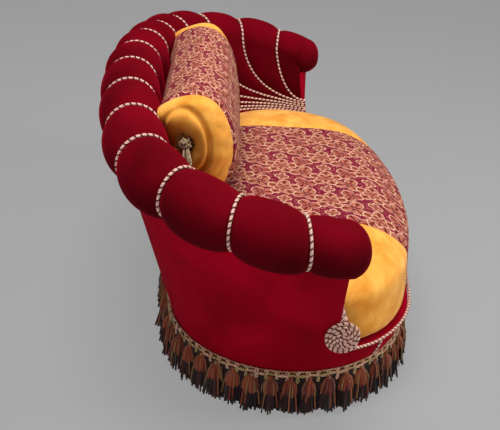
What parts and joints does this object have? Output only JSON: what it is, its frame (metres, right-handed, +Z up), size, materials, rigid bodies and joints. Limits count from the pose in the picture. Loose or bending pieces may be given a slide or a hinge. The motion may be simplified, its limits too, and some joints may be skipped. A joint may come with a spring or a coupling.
{
  "type": "sofa",
  "caption": "Bow-fronted sofa whose arms and back sweep round in one fluted, rolled shell of padded channels, with corded seams, tassel fringe and a loose back cushion",
  "frame": {"origin": "on the floor under the middle of the sofa's bounding box", "axes": "+X along the sofa to the right seen from the front, +Y to the back, +Z up; the seat faces -Y"},
  "size_m": [1.8682, 1.0444, 0.8868],
  "materials": {
    "red_velvet": "cut velvet, deep pile",
    "gold_velvet": "cut velvet",
    "floral_fabric": "woven floral, matt",
    "cord": "twisted cord, two tones",
    "braid": "scrolled braid",
    "fringe": "hanks of yarn",
    "tuft": "cut yarn",
    "frame_wood": "sawn beech",
    "foot_wood": "dark stained",
    "glide": "plain",
    "steel": "zinc plated",
    "webbing": "woven jute",
    "dust_cloth": "thin black cloth",
    "filling": "foam and wadding",
    "lining_board": "thin board under hessian"
  },
  "bodies": {
    "sofa": {"front_rail": "frame_wood", "back_rail": "frame_wood", "left_end_rail": "frame_wood", "right_end_rail": "frame_wood", "seat_stretchers": "frame_wood", "corner_blocks": "frame_wood", "feet": "foot_wood", "foot_glides": "glide", "foot_bolts": "steel", "webbing_cross": "webbing", "webbing_long": "webbing", "dust_cover": "dust_cloth", "seat_foam": "filling", "seat_cover_middle": "floral_fabric", "seat_cover_left": "gold_velvet", "seat_cover_right": "gold_velvet", "arm_posts": "frame_wood", "back_ribs": "frame_wood", "roll_core": "filling", "inner_lining": "lining_board", "outside_cover_left": "red_velvet", "outside_cover_back": "red_velvet", "outside_cover_right": "red_velvet", "arm_facings": "red_velvet", "roll_end_caps": "red_velvet", "front_border": "red_velvet", "border_cord": "cord", "border_drop_cords": "cord", "seam_cords_left": "cord", "seam_cords_right": "cord", "rosettes": "cord", "braid": "braid", "fringe_front": "fringe", "fringe_back": "fringe", "fringe_left": "fringe", "fringe_right": "fringe", "channel_01": "red_velvet", "channel_02": "red_velvet", "channel_03": "red_velvet", "channel_04": "red_velvet", "channel_05": "red_velvet", "channel_06": "red_velvet", "channel_07": "red_velvet", "channel_08": "red_velvet", "channel_09": "red_velvet", "channel_10": "red_velvet", "channel_11": "red_velvet", "channel_12": "red_velvet", "channel_13": "red_velvet", "channel_14": "red_velvet", "channel_15": "red_velvet"},
    "cushion": {"cushion_filling": "filling", "cushion_cover_middle": "floral_fabric", "cushion_end_left": "gold_velvet", "cushion_end_right": "gold_velvet", "cushion_tufts": "tuft"}
  },
  "joints": [
    {"name": "cushion_lift", "type": "slide", "parent": "sofa", "child": "cushion", "axis": [0, -0.5, 0.866], "range_m": [0, 0.55]}
  ]
}
